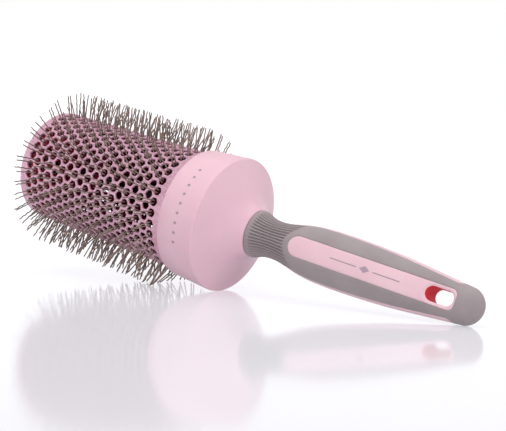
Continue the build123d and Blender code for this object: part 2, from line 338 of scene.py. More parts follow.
def slot_wall_glow_material():
    """The inner wall of the slot, a deep red: a painted glow of light through the translucent pink
    core.
    """
    shader = Shader("core_slot_wall_painted_glow", Specular_IOR_Level=0.2)
    shader.mottle(shader.noise(60, 2.0), (0.64, 0.018, 0.038, 1), (0.76, 0.03, 0.06, 1))
    shader.roughen(shader.noise(220), 0.5, 0.6)
    return shader.material


def grip_material():
    """Soft-touch rubber: matt, with a fine moulded grain."""
    shader = Shader("grip_rubber", Sheen_Weight=0.25, Sheen_Roughness=0.5, Specular_IOR_Level=0.35)
    shader.mottle(shader.noise(55, 5.0), (0.246, 0.206, 0.214, 1), (0.282, 0.242, 0.247, 1))
    shader.roughen(shader.noise(300), 0.52, 0.66)
    shader.bump(shader.noise(2200, 3.0), 0.2, 0.00006)
    return shader.material


def bristle_material():
    """Taupe nylon."""
    shader = Shader("bristle_nylon", Specular_IOR_Level=0.45)
    shader.mottle(shader.noise(120, 2.0), (0.14, 0.098, 0.083, 1), (0.295, 0.222, 0.192, 1))
    shader.roughen(shader.noise(600), 0.4, 0.55)
    shader.bump(shader.noise(4000, 2.0), 0.1, 0.00003)
    return shader.material


def carrier_shade_material():
    """Dark maroon plastic, with a painted red glow at the barrel's front and painted shade further in.
    """
    glow_until, shade_from = 8, 38
    shader = Shader("carrier_plastic", Specular_IOR_Level=0.05)
    front = BRUSH @ Vector((glow_until, 0, 0))
    along = (BRUSH @ Vector((shade_from, 0, 0))) - front
    depth = shader.node("ShaderNodeVectorMath", operation="DOT_PRODUCT")
    depth.inputs[1].default_value = along / along.length_squared
    shader.link(shader.position(), depth.inputs[0])
    start = front.dot(along) / along.length_squared
    spread = shader.node("ShaderNodeMapRange", From_Min=start, From_Max=start + 1)
    shader.link(depth.outputs["Value"], spread.inputs["Value"])
    # Red near the front is a painted glow; near black further in is painted shade.
    shader.mottle(spread.outputs["Result"], (0.24, 0.010, 0.030, 1), (0.045, 0.002, 0.006, 1),
                  0.0, 1.0)
    shader.roughen(shader.noise(300), 0.6, 0.75)
    return shader.material


def print_material():
    """Mauve grey printing ink, a little worn."""
    shader = Shader("print_ink")
    shader.mottle(shader.noise(1800, 3.0), (0.28, 0.205, 0.25, 1), (0.37, 0.285, 0.335, 1))
    shader.roughen(shader.noise(500), 0.4, 0.55)
    return shader.material


def metal_material(name, dark, light):
    """Turned metal with fine marks along it."""
    shader = Shader(name, Metallic=1.0)
    shader.mottle(shader.noise(700, 3.0), dark, light)
    shader.roughen(shader.noise(1500), 0.24, 0.4)
    shader.bump(shader.noise(2500, 2.0), 0.1, 0.00003)
    return shader.material


# ---- barrel --------------------------------------------------------------------------------
def rounded_hexagon(flats, corner, per_side):
    """Outline of a hexagon with points on its X axis and rounded corners, 6 * per_side points."""
    points = []
    inner = flats / math.sqrt(3) - corner / math.cos(math.pi / 6)
    steps = per_side - 1
    for side in range(6):
        middle = math.radians(60 * side)
        centre = (inner * math.cos(middle), inner * math.sin(middle))
        for i in range(steps + 1):
            angle = middle + math.radians(-30 + 60 * i / steps)
            points.append((centre[0] + corner * math.cos(angle), centre[1] + corner * math.sin(angle)))
    return np.array(points)


def hexagon_cell(per_side):
    """Outline of the web's share round one hole, with the same number of points."""
    half_row = BARREL_MIDDLE_RADIUS * ROW_STEP / 2
    far = (COLUMN_PITCH ** 2 + half_row ** 2) / (2 * COLUMN_PITCH)
    near = COLUMN_PITCH - far
    corners = [(far, 0), (near, half_row), (-near, half_row)]
    corners += [(-far, 0), (-near, -half_row), (near, -half_row)]
    points = []
    half = (per_side - 1) / 2
    for side in range(6):
        here = np.array(corners[side])
        before = np.array(corners[side - 1])
        after = np.array(corners[(side + 1) % 6])
        for i in range(per_side):
            t = (i - half) / per_side
            points.append(here + (after - here) * t if t >= 0 else here + (before - here) * -t)
    return np.array(points)


def barrel_cell(per_side=3):
    """Rings of (x, around, depth) from the web's middle over the hole's soft edge to the bore."""
    cell = hexagon_cell(per_side)
    soft = 0.16
    eased = 0.3 * soft
    rings = [(cell, 0.0)]
    for inset, depth in ((soft, 0.0), (eased, eased), (0.0, soft)):
        rings.append((rounded_hexagon(HOLE_FLATS + 2 * inset, HOLE_CORNER + inset, per_side), depth))
    hole = rounded_hexagon(HOLE_FLATS, HOLE_CORNER, per_side)
    rings.append((hole, BARREL_WALL))
    rings.append((cell, BARREL_WALL))
    return rings


def make_barrel(material, inside_shade_material):
    """The perforated tube, wrapped from a flat honeycomb of cells."""
    rings = barrel_cell()
    ring_size = len(rings[0][0])
    points = []
    faces = []
    lookup = {}

    def vertex(x, around, depth):
        turn = around / BARREL_MIDDLE_RADIUS
        key = (round(x, 3), round(turn % (2 * math.pi), 4) % round(2 * math.pi, 4), round(depth, 3))
        if key not in lookup:
            radius = barrel_radius(x) - depth
            lookup[key] = len(points)
            points.append((x, radius * math.sin(turn), radius * math.cos(turn)))
        return lookup[key]

    for column in range(HOLE_COLUMNS):
        x = FIRST_COLUMN + column * COLUMN_PITCH
        for row in range(HOLES_AROUND):
            around = (row + (0.5 if column % 2 else 0)) * ROW_STEP * BARREL_MIDDLE_RADIUS
            loops = [[vertex(x + u, around + v, depth) for u, v in ring] for ring, depth in rings]
            for inner, outer in zip(loops[1:], loops):
                for i in range(ring_size):
                    k = (i + 1) % ring_size
                    faces.append((outer[i], outer[k], inner[k], inner[i]))
    barrel_ends(points, faces, open_edges(faces))
    # The inner wall takes the dark carrier material: painted shade inside the tube.
    kinds = [int(all(lies_inside(points[v]) for v in face)) for face in faces]
    return add_mesh("barrel_shell", points, faces, [material, inside_shade_material],
                    face_materials=kinds)


def lies_inside(point):
    """True for a point on the barrel's inner wall."""
    nearly_through = 0.9 * BARREL_WALL
    x, y, z = point
    return math.hypot(y, z) < barrel_radius(x) - nearly_through


def barrel_ends(points, faces, edges):
    """Plain rims: from the honeycomb's zigzag ends to the two straight ends, inside and out."""
    straight = {}

    def end_vertex(index, x):
        px, py, pz = points[index]
        key = (index, x)
        if key not in straight:
            straight[key] = len(points)
            scale = barrel_radius(x) / barrel_radius(px)
            points.append((x, py * scale, pz * scale))
        return straight[key]

    middle = (BARREL_START + BARREL_END) / 2
    rims = {}
    for a, b in sorted(edges):
        x_end = BARREL_START if points[a][0] < middle else BARREL_END
        a_end = end_vertex(a, x_end)
        b_end = end_vertex(b, x_end)
        faces.append((b, a, a_end, b_end))
        for index in (a, b):
            x, y, z = points[index]
            outer = math.hypot(y, z) > barrel_radius(x) - BARREL_WALL / 2
            turn = round(math.atan2(y, z) % (2 * math.pi), 3)
            rims.setdefault(x_end, {True: {}, False: {}})[outer][turn] = end_vertex(index, x_end)
    for sides in rims.values():
        turns = sorted(set(sides[True]) & set(sides[False]))
        for here, after in zip(turns, turns[1:] + turns[:1]):
            outer, inner = sides[True], sides[False]
            faces.append((outer[here], outer[after], inner[after], inner[here]))


def make_front_cap(material):
    """The cap's turned form: rounded shoulder, flat face with a shallow ring groove, skirt."""
    edge, wall, soft, lip = 2.2, 1.3, 0.12, 0.2
    disc, groove_depth = 19.0, 0.5
    groove_start, groove_end, groove_rim = disc + 0.35, disc + 0.9, disc + 1.4
    radius = BARREL_FRONT_RADIUS
    skirt = radius - BARREL_WALL - FIT
    skirt_end = 1.7
    profile = [(CAP_FACE + wall, 0), (CAP_FACE, 0), (CAP_FACE, disc - 2 * lip)]
    profile += arc(CAP_FACE + lip, disc, lip, 180, 90, 3)
    profile += [(CAP_FACE + groove_depth, groove_start), (CAP_FACE + groove_depth, groove_end)]
    profile += arc(CAP_FACE + lip, groove_rim, lip, 270, 180, 3)
    profile += arc(CAP_FACE + edge, radius - edge, edge, 180, 90, 10)
    profile += [(BARREL_START - soft, radius), (BARREL_START, radius - soft)]
    profile += [(BARREL_START, skirt), (skirt_end - lip, skirt), (skirt_end, skirt - lip)]
    profile += [(skirt_end, skirt - wall), (CAP_FACE + wall, skirt - wall)]
    points, faces = lathe(profile, 120)
    return add_mesh("front_cap_moulding", points, faces, [material], crease=30)


# ---- bristles ------------------------------------------------------------------------------
PIN_SIDES = 6
PIN_STEPS = 30
ROOT_DEPTH = STRIP_DEPTH + 0.3
KNEE_RUN = 2.0
MOST_BEND = math.radians(86)
BEND_STEP = math.radians(1)
FRONT_LEAN = 0.085
PAIR_SPREAD = (0.06, 0.065)
PAIR_SPLAY = 0.02
PIN_SPREAD = 0.045
SHORTER, LONGER = 0.6, 0.3
CRIMP_RANGE = (0.6, 1.3)
BOW_SPREAD = (0.25, 0.3)
FIRST_SEED = 400


def random_pin(forward_lean, sideways_lean):
    """What makes one pin unlike its neighbours: its lean, length, crimp and bow."""
    return {"lean": (random.gauss(forward_lean, PIN_SPREAD), random.gauss(sideways_lean, PIN_SPREAD)),
            "length": BRISTLE_REACH + ROOT_DEPTH - random.uniform(-LONGER, SHORTER),
            "phase": random.uniform(0, 2 * math.pi),
            "plane": random.uniform(0, math.pi),
            "crimp": CRIMP_HEIGHT * random.uniform(*CRIMP_RANGE),
            "bow": (random.gauss(0, BOW_SPREAD[0]), random.gauss(0, BOW_SPREAD[1]))}


def pin_centres(x, y, pin, bend):
    """The middle line of one crimped pin: out of the strip, past its knee and on to the tip."""
    root = barrel_radius(x) - ROOT_DEPTH
    knee_run = KNEE_HEIGHT + ROOT_DEPTH
    step = pin["length"] / PIN_STEPS
    place = Vector((x, y, root))
    centres = []
    for i in range(PIN_STEPS + 1):
        run = step * i
        past = max(0.0, run - knee_run)
        grown = min(1.0, past / KNEE_RUN)
        if i:
            slope = pin["lean"][0] - math.tan(bend * grown)
            place += Vector((slope, pin["lean"][1], 1)).normalized() * step
        wave = pin["crimp"] * grown * math.sin(2 * math.pi * run / CRIMP_LENGTH + pin["phase"])
        curl = (past / pin["length"]) ** 2
        off = Vector((wave * math.cos(pin["plane"]) + pin["bow"][0] * curl,
                      wave * math.sin(pin["plane"]) + pin["bow"][1] * curl, 0))
        centres.append(place + off)
    return centres


def resting_centres(x, y, pin, row_matrix):
    """The pin's middle line, bent towards the front only as far as the floor bends it."""
    bend = 0.0
    centres = pin_centres(x, y, pin, bend)
    while bend < MOST_BEND and lowest_place(centres, row_matrix) < FLOOR_CLEARANCE:
        bend += BEND_STEP
        centres = pin_centres(x, y, pin, bend)
    return centres


def lowest_place(centres, row_matrix):
    """Height in millimetres of the lowest part of a pin's side above the floor."""
    return min((row_matrix @ centre).z for centre in centres) / MM - BRISTLE_RADIUS


def add_pin(points, faces, kinds, centres, shaded_root_rings):
    """A round pin along a middle line, a little thinner outwards, with a blunt tip and its root in
    painted shade.
    """
    root_share, taper, tip_share = 1.08, 0.16, 0.6
    start = len(points)
    last_ring = len(centres) - 1
    for i, centre in enumerate(centres):
        before = centres[max(0, i - 1)]
        after = centres[min(last_ring, i + 1)]
        axis = (after - before).normalized()
        side = axis.cross(Vector((1, 0, 0))).normalized()
        other = axis.cross(side)
        radius = BRISTLE_RADIUS * (root_share - taper * i / last_ring)
        if i == last_ring:
            radius *= tip_share
        for k in range(PIN_SIDES):
            angle = 2 * math.pi * k / PIN_SIDES
            points.append(centre + (side * math.cos(angle) + other * math.sin(angle)) * radius)
    for i in range(last_ring):
        for k in range(PIN_SIDES):
            n = (k + 1) % PIN_SIDES
            a = start + i * PIN_SIDES
            faces.append((a + k, a + n, a + PIN_SIDES + n, a + PIN_SIDES + k))
            # Rings inside the barrel, and the root cap, take the dark carrier material: painted shade.
            kinds.append(int(i < shaded_root_rings))
    last = start + last_ring * PIN_SIDES
    tip = len(points)
    points.append(centres[-1] + (centres[-1] - centres[-2]).normalized() * PIN_TIP)
    faces.extend((last + k, last + (k + 1) % PIN_SIDES, tip) for k in range(PIN_SIDES))
    faces.append(tuple(start + k for k in reversed(range(PIN_SIDES))))
    kinds.extend([0] * PIN_SIDES + [1])


def spine_bar(points, faces):
    """The strip's spine: a bar with softened long edges that follows the barrel's taper."""
    w = STRIP_WIDTH / 2
    soft = 0.25
    start = len(points)
    for x in (STRIP_START, STRIP_END):
        top = barrel_radius(x) - STRIP_DEPTH
        foot = top - STRIP_THICKNESS
        section = [(-w, foot), (w, foot), (w, top - soft)]
        section += [(w - soft, top), (-w + soft, top), (-w, top - soft)]
        points.extend(Vector((x, y, z)) for y, z in section)
    count = len(section)
    for i in range(count):
        k = (i + 1) % count
        faces.append((start + i, start + k, start + count + k, start + count + i))
    faces.append(tuple(start + i for i in reversed(range(count))))
    faces.append(tuple(start + count + i for i in range(count)))


def make_bristle_row(row, material, spine_and_root_shade_material):
    """One strip: its spine and pins in pairs, each crimped and with its own small lean."""
    random.seed(FIRST_SEED + row)
    row_matrix = BRUSH @ Matrix.Rotation(math.pi + (row + 0.5) * ROW_STEP, 4, "X")
    points = []
    faces = []
    spine_bar(points, faces)
    kinds = [1] * len(faces)
    for column in range(1, HOLE_COLUMNS, 2):
        x = FIRST_COLUMN + column * COLUMN_PITCH
        forward = FRONT_LEAN if column > 1 else 2 * FRONT_LEAN
        pair_lean = (random.gauss(-forward, PAIR_SPREAD[0]), random.gauss(0, PAIR_SPREAD[1]))
        for side in (-1, 1):
            pin = random_pin(pair_lean[0], pair_lean[1] + PAIR_SPLAY * side)
            centres = resting_centres(x, side * BRISTLE_GAP / 2, pin, row_matrix)
            # The rings that sit inside the barrel get painted shade.
            shaded_root_rings = int(STRIP_DEPTH / pin["length"] * PIN_STEPS)
            add_pin(points, faces, kinds, centres, shaded_root_rings)
    name = f"bristle_row_{row + 1:02d}"
    points = list(map(tuple, points))
    return add_mesh(name, points, faces, [material, spine_and_root_shade_material], row_matrix, kinds)


# ---- collar --------------------------------------------------------------------------------
def shoulder_profile():
    """The concave shoulder from the band's edge down to the neck, as (x, radius) points."""
    places = [COLLAR_BACK, 110.3, 113.3, 117.2, NECK_START]
    radii = [COLLAR_BACK_RADIUS - 0.8, 24.5, 18.4, 13.3, 11.05]
    runs = np.cumsum(np.hypot(np.diff(places), np.diff(radii)))
    distance = np.concatenate([[0], runs])
    place_at = smooth_curve(distance, places)
    radius_at = smooth_curve(distance, radii)
    first, last, count = 0.4, distance[-1] - 0.25, 26
    return [(float(place_at(s)), float(radius_at(s))) for s in np.linspace(first, last, count)]


def make_collar(material):
    """Band, shoulder and barrel seat turned in one piece, with softened edges."""
    front_soft, back_soft, mouth_soft = 0.9, 0.75, 0.3
    seat_end, hub_front, hub_radius = 93.0, 96.0, 10.4
    bore = BARREL_REAR_RADIUS + FIT
    hub_bore = SPIGOT_RADIUS + FIT
    band_slope = math.degrees(math.atan((COLLAR_BACK_RADIUS - COLLAR_FRONT_RADIUS)
                                        / (COLLAR_BACK - COLLAR_FRONT)))
    profile = [(seat_end, bore), (COLLAR_FRONT + mouth_soft, bore), (COLLAR_FRONT, bore + mouth_soft)]
    profile += arc(COLLAR_FRONT + front_soft, COLLAR_FRONT_RADIUS - front_soft, front_soft,
                   180, 90 + band_slope, 8)
    profile += arc(COLLAR_BACK - back_soft, COLLAR_BACK_RADIUS - back_soft, back_soft,
                   90 + band_slope, 25, 6)
    profile += shoulder_profile()
    profile += [(NECK_START, 10.85), (NECK_START, hub_bore), (hub_front, hub_bore)]
    profile += [(hub_front, hub_radius), (111.5, hub_radius), (106.5, 23.7), (104.0, 28.7)]
    profile += [(hub_front, 27.6), (seat_end, 26.9)]
    points, faces = lathe(profile, 192)
    return add_mesh("collar_moulding", points, faces, [material], crease=32)


# ---- handle --------------------------------------------------------------------------------
AROUND = NECK_RIBS * 6
LIP_SOFT = 0.4
PULLS = 4
NEARLY_POLE = 0.9999
END_START = 2.05
END_TILT = math.asin(END_START / HANDLE_END_RADIUS)
END_FIRST = (HANDLE_END_CENTRE + END_START, HANDLE_END_RADIUS * math.cos(END_TILT),
             HANDLE_END_THICKNESS * math.cos(END_TILT))
MIDDLE_STATION = (HANDLE_END_CENTRE - 1.5, 8.46, 5.95)
SHAPE = HANDLE_STATIONS + [MIDDLE_STATION, END_FIRST]
WIDTH_CURVE = smooth_curve([s[0] for s in SHAPE], [s[1] for s in SHAPE])
THICKNESS_CURVE = smooth_curve([s[0] for s in SHAPE], [s[2] for s in SHAPE])


def half_sizes(x):
    """Half width and half thickness of the handle at x."""
    x = np.asarray(x, dtype=float)
    beyond = np.clip((x - HANDLE_END_CENTRE) / HANDLE_END_RADIUS, 0, NEARLY_POLE)
    shrink = np.sqrt(1 - beyond ** 2)
    at_end = x > END_FIRST[0]
    body = np.minimum(x, END_FIRST[0])
    width = np.where(at_end, HANDLE_END_RADIUS * shrink, WIDTH_CURVE(body))
    thickness = np.where(at_end, HANDLE_END_THICKNESS * shrink, THICKNESS_CURVE(body))
    return width, thickness


def rounded_box(x, y, box, front_corner, back_corner):
    """Signed distance from the outline of a long box round the X axis, negative inside."""
    start, end, width = box
    middle = (start + end) / 2
    corner = np.where(x < middle, front_corner, back_corner)
    qx = np.abs(x - middle) - (end - start) / 2 + corner
    qy = np.abs(y) - width / 2 + corner
    outside = np.hypot(np.maximum(qx, 0), np.maximum(qy, 0))
    return np.minimum(np.maximum(qx, qy), 0) + outside - corner


def window_distance(x, y):
    return rounded_box(x, y, WINDOW, WINDOW[2] / 2, WINDOW_CORNER)


def strip_distance(x, z):
    return rounded_box(x, z, SIDE_STRIP, SIDE_STRIP[2] / 2, SIDE_STRIP[2] / 2)


def slot_distance(x, y):
    return rounded_box(x, y, SLOT, SLOT[2] / 2, SLOT[2] / 2)


def handle_stations():
    """Places along the handle, close together where its outlines turn."""
    lip = [NECK_START + LIP_SOFT * (1 - math.cos(math.radians(a))) for a in (0, 25, 50, 70)]
    neck = list(np.arange(NECK_START + LIP_SOFT, 149.0, 0.5))
    body = list(np.arange(149.0, 206.0, 1.3))
    back = list(np.arange(206.5, END_FIRST[0], 0.5))
    tilts = np.radians(np.linspace(math.degrees(END_TILT), 87, 14))
    end = [HANDLE_END_CENTRE + HANDLE_END_RADIUS * math.sin(t) for t in tilts]
    return np.array(lip + neck + body + back + end)


def next_to_outline(gap):
    """Of each two neighbours that an outline passes between, marks the nearer."""
    marked = np.zeros(gap.shape, dtype=bool)
    for axis in (0, 1):
        after = np.roll(gap, -1, axis)
        crossing = gap * after < 0
        if axis == 0:
            crossing[-1] = False
        nearer = np.abs(gap) <= np.abs(after)
        marked |= crossing & nearer
        marked |= np.roll(crossing & ~nearer, 1, axis)
    return marked


class HandleSkin:
    """A grid round the handle whose lines are pulled onto the outlines between its materials."""

    def __init__(self):
        angles = np.arange(AROUND) * 2 * math.pi / AROUND
        self.x, self.turn = np.meshgrid(handle_stations(), angles, indexing="ij")
        self.pink_label = np.ones(self.x.shape, dtype=int)
        self.slot_label = np.ones(self.x.shape, dtype=int)
        self.fit_outline(window_distance, self.pink_label, False)
        self.fit_outline(strip_distance, self.pink_label, True)
        self.fit_outline(slot_distance, self.slot_label, False)

    def flat_place(self, sideways):
        """Each point's place across the handle, or through it when sideways."""
        width, thickness = half_sizes(self.x)
        if sideways:
            return thickness * np.sin(self.turn)
        return width * np.cos(self.turn)

    def fit_outline(self, distance, labels, sideways):
        """Pulls the nearest points onto an outline; labels are -1 inside, 0 on it, 1 outside."""
        near = next_to_outline(distance(self.x, self.flat_place(sideways)))
        for _ in range(PULLS):
            self.pull(distance, near, sideways)
        inside = distance(self.x, self.flat_place(sideways)) < 0
        labels[inside & (labels == 1)] = -1
        labels[near] = 0

    def pull(self, distance, chosen, sideways):
        """Moves the chosen points one step down the slope towards the outline."""
        step = 1e-4
        place = self.flat_place(sideways)
        gap = distance(self.x, place)
        slope_x = (distance(self.x + step, place) - distance(self.x - step, place)) / (2 * step)
        slope_y = (distance(self.x, place + step) - distance(self.x, place - step)) / (2 * step)
        self.x = np.where(chosen, self.x - gap * slope_x, self.x)
        place = np.where(chosen, place - gap * slope_y, place)
        width, thickness = half_sizes(self.x)
        if sideways:
            turn = np.arcsin(np.clip(place / thickness, -1, 1))
            turn = np.where(np.cos(self.turn) < 0, math.pi - turn, turn)
        else:
            turn = np.arccos(np.clip(place / width, -1, 1))
            turn = np.where(np.sin(self.turn) < 0, -turn, turn)
        self.turn = np.where(chosen, turn, self.turn)

    def base(self):
        """Points of the plain outer form and their outward normals."""
        width, thickness = half_sizes(self.x)
        step = 0.01
        width_after, thickness_after = half_sizes(self.x + step)
        lip = np.clip(NECK_START + LIP_SOFT - self.x, 0, LIP_SOFT)
        inset = LIP_SOFT - np.sqrt(LIP_SOFT ** 2 - lip ** 2)
        cos, sin = np.cos(self.turn), np.sin(self.turn)
        points = np.stack([self.x, (width - inset) * cos, (thickness - inset) * sin], -1)
        along = np.stack([np.full(cos.shape, step), (width_after - width) * cos,
                          (thickness_after - thickness) * sin], -1)
        round_ = np.stack([np.zeros(cos.shape), -width * sin, thickness * cos], -1)
        normals = np.cross(round_, along)
        normals[..., 0] -= np.linalg.norm(normals, axis=-1) * lip / LIP_SOFT * 2
        normals /= np.linalg.norm(normals, axis=-1)[..., None]
        return points, normals

    def drop(self):
        """How far the finished skin lies under the plain form: seams, slot mouth and neck ribs."""
        width, thickness = half_sizes(self.x)
        place = width * np.cos(self.turn)
        height = thickness * np.sin(self.turn)
        pink = np.minimum(window_distance(self.x, place), strip_distance(self.x, height))
        slot = slot_distance(self.x, place)
        seam_depth, seam_width = 0.28, 0.5
        near = np.clip(1 - np.abs(pink) / seam_width, 0, 1)
        seam = 1 - np.sqrt(1 - near ** 2)
        drop = np.where(pink >= 0, seam_depth * seam,
                        PINK_RECESS + (seam_depth - PINK_RECESS) * seam)
        mouth_width, mouth_depth, mouth_power = 0.95, 0.75, 1.4
        drop += mouth_depth * np.clip(1 - slot / mouth_width, 0, 1) ** mouth_power
        return drop + self.rib_drop(place, np.abs(place) / width)

    def rib_drop(self, place, share):
        """Depth of the neck's grooves, which run on at the sides and stop short of the window."""
        depth, start, end, longer = 1.0, 122.3, 141.5, 7.0
        start_fade, end_fade, frame_fade, window_frame = 1.6, 2.5, 0.8, 2.4
        far_end = end + longer * np.clip(share, 0, 1) ** 2
        fade = np.clip((self.x - start) / start_fade, 0, 1)
        fade = fade * np.clip((far_end - self.x) / end_fade, 0, 1)
        frame = window_distance(self.x, place) - window_frame
        fade *= np.clip(frame / frame_fade, 0, 1)
        wave = 0.5 - 0.5 * np.cos(NECK_RIBS * self.turn)
        return depth * fade * wave ** 2

    def cells(self):
        """Faces as grid indices, cut along the outlines: (corners, pink or not)."""
        rows, columns = self.x.shape
        pink = self.pink_label.ravel()
        slot = self.slot_label.ravel()
        for i in range(rows - 1):
            for j in range(columns):
                k = (j + 1) % columns
                quad = (i * columns + j, i * columns + k, (i + 1) * columns + k,
                        (i + 1) * columns + j)
                for face in split_cell(quad, slot):
                    if sum(slot[v] for v in face) < 0:
                        continue
                    for part in split_cell(face, pink):
                        total = sum(pink[v] for v in part)
                        if total == 0:
                            total = self.middle_sign(part)
                        yield part, total < 0

    def middle_sign(self, face):
        """Which side of the pink outlines a face lies on whose corners are all on one."""
        x = np.mean([self.x.flat[v] for v in face])
        cos = np.mean([math.cos(self.turn.flat[v]) for v in face])
        sin = np.mean([math.sin(self.turn.flat[v]) for v in face])
        width, thickness = half_sizes(x)
        return min(window_distance(x, width * cos), strip_distance(x, thickness * sin))


def split_cell(face, labels):
    """Cuts a face in two where its outline runs corner to corner."""
    values = [labels[v] for v in face]
    if len(face) < 4 or min(values) >= 0 or max(values) <= 0:
        return [face]
    if values[0] == 0 and values[2] == 0:
        return [(face[0], face[1], face[2]), (face[0], face[2], face[3])]
    return [(face[1], face[2], face[3]), (face[1], face[3], face[0])]


SLOT_WALL_STEPS = 8


def make_grip(skin, material):
    """The rubber as a closed shell: outer skin, inner skin and the walls of its openings."""
    base, normals = skin.base()
    top = (base - normals * skin.drop()[..., None]).reshape(-1, 3)
    under = (base - normals * GRIP_INSIDE).reshape(-1, 3)
    size = len(top)
    outer = [face for face, pink in skin.cells() if not pink]
    end = handle_pole(skin, outer)
    points = list(map(tuple, top)) + list(map(tuple, under))
    tip = HANDLE_END_CENTRE + HANDLE_END_RADIUS
    outer_pole, inner_pole = 2 * size, 2 * size + 1
    points += [(tip, 0, 0), (tip - GRIP_INSIDE, 0, 0)]
    outer = [tuple(outer_pole if v == end else v for v in face) for face in outer]
    inner = [tuple(inner_pole if v == outer_pole else v + size for v in reversed(face))
             for face in outer]
    faces = outer + inner
    faces += [(b, a, a + size, b + size) for a, b in open_edges(outer)]
    return keep_used("grip_skin", points, faces, [material])


def handle_pole(skin, faces):
    """Closes the far end with a fan; returns the fan's own index."""
    rows, columns = skin.x.shape
    pole = rows * columns
    last = (rows - 1) * columns
    faces += [(last + j, last + (j + 1) % columns, pole) for j in range(columns)]
    return pole


def keep_used(name, points, faces, materials, face_materials=None, crease=40):
    """Makes the object from the points that its faces use."""
    used = sorted({v for face in faces for v in face})
    place = {v: i for i, v in enumerate(used)}
    faces = [tuple(place[v] for v in face) for face in faces]
    points = [points[v] for v in used]
    return add_mesh(name, points, faces, materials, HANDLE, face_materials, crease)


def make_core(skin, material, wall_glow_material):
    """The hard core: proud in its windows and side strips, sunk elsewhere, pierced by the slot."""
    base, normals = skin.base()
    top = (base - normals * skin.drop()[..., None]).reshape(-1, 3)
    under = (base - normals * CORE_UNDER_GRIP).reshape(-1, 3)
    size = len(top)
    points = list(map(tuple, top)) + list(map(tuple, under))
    shown = []
    sunk = []
    for face, pink in skin.cells():
        (shown if pink else sunk).append(face)
    end = handle_pole(skin, sunk)
    points.append((HANDLE_END_CENTRE + HANDLE_END_RADIUS - CORE_UNDER_GRIP, 0, 0))
    sunk_edges = directed_edges(sunk)
    faces = list(shown)
    faces += [tuple(2 * size if v == end else v + size for v in face) for face in sunk]
    slot_edges = []
    for a, b in open_edges(shown):
        if (b, a) in sunk_edges:
            faces.append((b, a, a + size, b + size))
        else:
            slot_edges.append((a, b))
    kinds = [0] * len(faces)
    walls = slot_walls(skin, points, slot_edges)
    faces += walls
    # The slot's walls take the deep red painted glow.
    kinds += [1] * len(walls)
    spigot = core_spigot(skin, points, size)
    faces += spigot
    kinds += [0] * len(spigot)
    return keep_used("handle_core_moulding", points, faces, [material, wall_glow_material], kinds, 35)


def slot_walls(skin, points, edges):
    """Joins the slot's mouths on the two flats; a point's twin mirrors it in the other flat."""
    columns = skin.x.shape[1]
    columns_of = {}

    def column(v):
        if v not in columns_of:
            twin = v - v % columns + (-(v % columns)) % columns
            here, there = np.array(points[v]), np.array(points[twin])
            ids = [v]
            for i in range(1, SLOT_WALL_STEPS):
                ids.append(len(points))
                points.append(tuple(here + (there - here) * i / SLOT_WALL_STEPS))
            columns_of[v] = ids + [twin]
        return columns_of[v]

    faces = []
    for a, b in sorted(edges):
        if points[a][2] > 0 and points[b][2] > 0:
            left, right = column(b), column(a)
            for i in range(SLOT_WALL_STEPS):
                faces.append((left[i], right[i], right[i + 1], left[i + 1]))
    return faces


def core_spigot(skin, points, size):
    """The round spigot that runs on into the collar."""
    columns = skin.x.shape[1]
    rings = [[size + j for j in range(columns)]]
    for x in (NECK_START, SPIGOT_START):
        ring = []
        for j in range(columns):
            angle = 2 * math.pi * j / columns
            ring.append(len(points))
            points.append((x, SPIGOT_RADIUS * math.cos(angle), SPIGOT_RADIUS * math.sin(angle)))
        rings.append(ring)
    faces = []
    for near, far in zip(rings, rings[1:]):
        faces += [(near[(j + 1) % columns], near[j], far[j], far[(j + 1) % columns])
                  for j in range(columns)]
    faces.append(tuple(rings[-1]))
    return faces


# ---- printed ornament ----------------------------------------------------------------------
PRINT_LIFT = 0.03
PRINT_SINK = 0.05


def patch(points, faces, surface, outline_rows):
    """One printed mark: rows of (x, across) points laid on a surface, closed below."""
    start = len(points)
    rows, columns = len(outline_rows), len(outline_rows[0])
    for lift in (PRINT_LIFT, -PRINT_SINK):
        for row in outline_rows:
            points.extend(surface(x, y, lift) for x, y in row)
    layer = rows * columns
    top = []
    for i in range(rows - 1):
        for j in range(columns - 1):
            a = start + i * columns + j
            top.append((a, a + 1, a + columns + 1, a + columns))
    faces += top
    faces += [tuple(v + layer for v in reversed(face)) for face in top]
    faces += [(b, a, a + layer, b + layer) for a, b in open_edges(top)]


def dash(x_middle, y_middle, length, height, steps=6):
    """A bar with the long way along x."""
    xs = [x_middle + length * (i / steps - 0.5) for i in range(steps + 1)]
    return [[(x, y_middle - height / 2), (x, y_middle), (x, y_middle + height / 2)] for x in xs]


def window_surface(x, y, lift):
    """A place on the core where it fills the window."""
    width, thickness = half_sizes(x)
    height = float(thickness) * math.sqrt(max(0.0, 1 - (y / float(width)) ** 2))
    return (x, y, height - PINK_RECESS + lift)


def band_surface(x, around, lift):
    """A place on the collar's band: around is measured along the band, zero at the top."""
    t = (x - COLLAR_FRONT) / (COLLAR_BACK - COLLAR_FRONT)
    radius = COLLAR_FRONT_RADIUS + (COLLAR_BACK_RADIUS - COLLAR_FRONT_RADIUS) * t
    angle = around / COLLAR_FRONT_RADIUS
    return (x, -(radius + lift) * math.sin(angle), (radius + lift) * math.cos(angle))


def diamond(x_middle, y_middle, length, height, steps=6):
    """A lozenge with the long way along x and slightly blunt points."""
    blunt = 0.02
    rows = []
    for i in range(steps + 1):
        t = i / steps - 0.5
        half = height / 2 * (1 - abs(2 * t)) + blunt
        x = x_middle + length * t
        rows.append([(x, y_middle - half), (x, y_middle), (x, y_middle + half)])
    return rows


